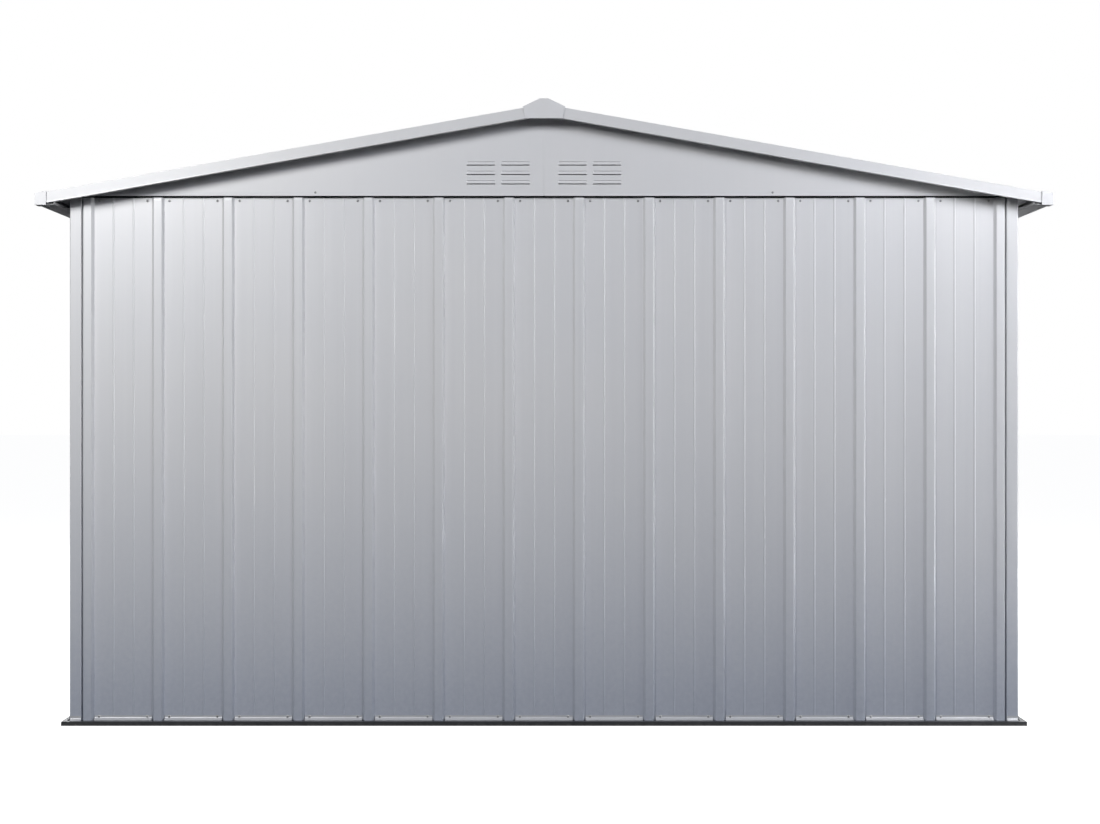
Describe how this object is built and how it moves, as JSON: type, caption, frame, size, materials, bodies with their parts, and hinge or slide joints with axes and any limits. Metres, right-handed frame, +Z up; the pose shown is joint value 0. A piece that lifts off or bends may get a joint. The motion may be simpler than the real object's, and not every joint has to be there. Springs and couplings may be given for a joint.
{
  "type": "metal storage shed",
  "caption": "Gabled storage shed of ribbed sheet metal on a base rail, with louvred gables, a low-pitched ribbed roof, edge trims and moulded end caps.",
  "frame": {"origin": "on the ground, under the middle of the shed", "axes": "+X to the right as seen from the front gable wall, +Y from the front gable wall to the back one, +Z up"},
  "size_m": [3.21, 2.474, 1.9853],
  "materials": {
    "wall_sheet": "semi-gloss zinc grey coating on ribbed steel sheet",
    "gable_sheet": "semi-gloss zinc grey coating on flat steel sheet",
    "roof_sheet": "semi-gloss zinc grey coating on ribbed steel sheet",
    "corner_trim": "semi-gloss zinc grey coating on folded steel sheet",
    "roof_trim": "semi-gloss zinc grey coating on folded steel sheet",
    "end_cap": "moulded grey plastic",
    "base_rail": "bright galvanised steel",
    "base_edge": "dark edge strip",
    "frame_steel": "galvanised steel with a fine spangle"
  },
  "bodies": {
    "root": {"base_rail_front": "base_rail", "base_rail_back": "base_rail", "base_rail_left": "base_rail", "base_rail_right": "base_rail", "base_edge_front": "base_edge", "base_edge_back": "base_edge", "base_edge_left": "base_edge", "base_edge_right": "base_edge", "front_wall_left": "wall_sheet", "front_wall_middle": "wall_sheet", "front_wall_right": "wall_sheet", "back_wall_left": "wall_sheet", "back_wall_middle": "wall_sheet", "back_wall_right": "wall_sheet", "left_wall_front": "wall_sheet", "left_wall_rear": "wall_sheet", "right_wall_front": "wall_sheet", "right_wall_rear": "wall_sheet", "corner_trim_front_left": "corner_trim", "corner_trim_front_right": "corner_trim", "corner_trim_back_left": "corner_trim", "corner_trim_back_right": "corner_trim", "front_gable_left": "gable_sheet", "front_gable_right": "gable_sheet", "back_gable_left": "gable_sheet", "back_gable_right": "gable_sheet", "roof_left_front": "roof_sheet", "roof_left_middle": "roof_sheet", "roof_left_rear": "roof_sheet", "roof_right_front": "roof_sheet", "roof_right_middle": "roof_sheet", "roof_right_rear": "roof_sheet", "ridge_cap": "roof_trim", "ridge_end_caps": "end_cap", "barge_front_left": "roof_trim", "barge_front_right": "roof_trim", "barge_back_left": "roof_trim", "barge_back_right": "roof_trim", "eave_trim_left": "roof_trim", "eave_trim_right": "roof_trim", "eave_end_caps": "end_cap", "top_rail_front": "frame_steel", "top_rail_back": "frame_steel", "top_rail_left": "frame_steel", "top_rail_right": "frame_steel", "roof_beams": "frame_steel"}
  },
  "joints": []
}
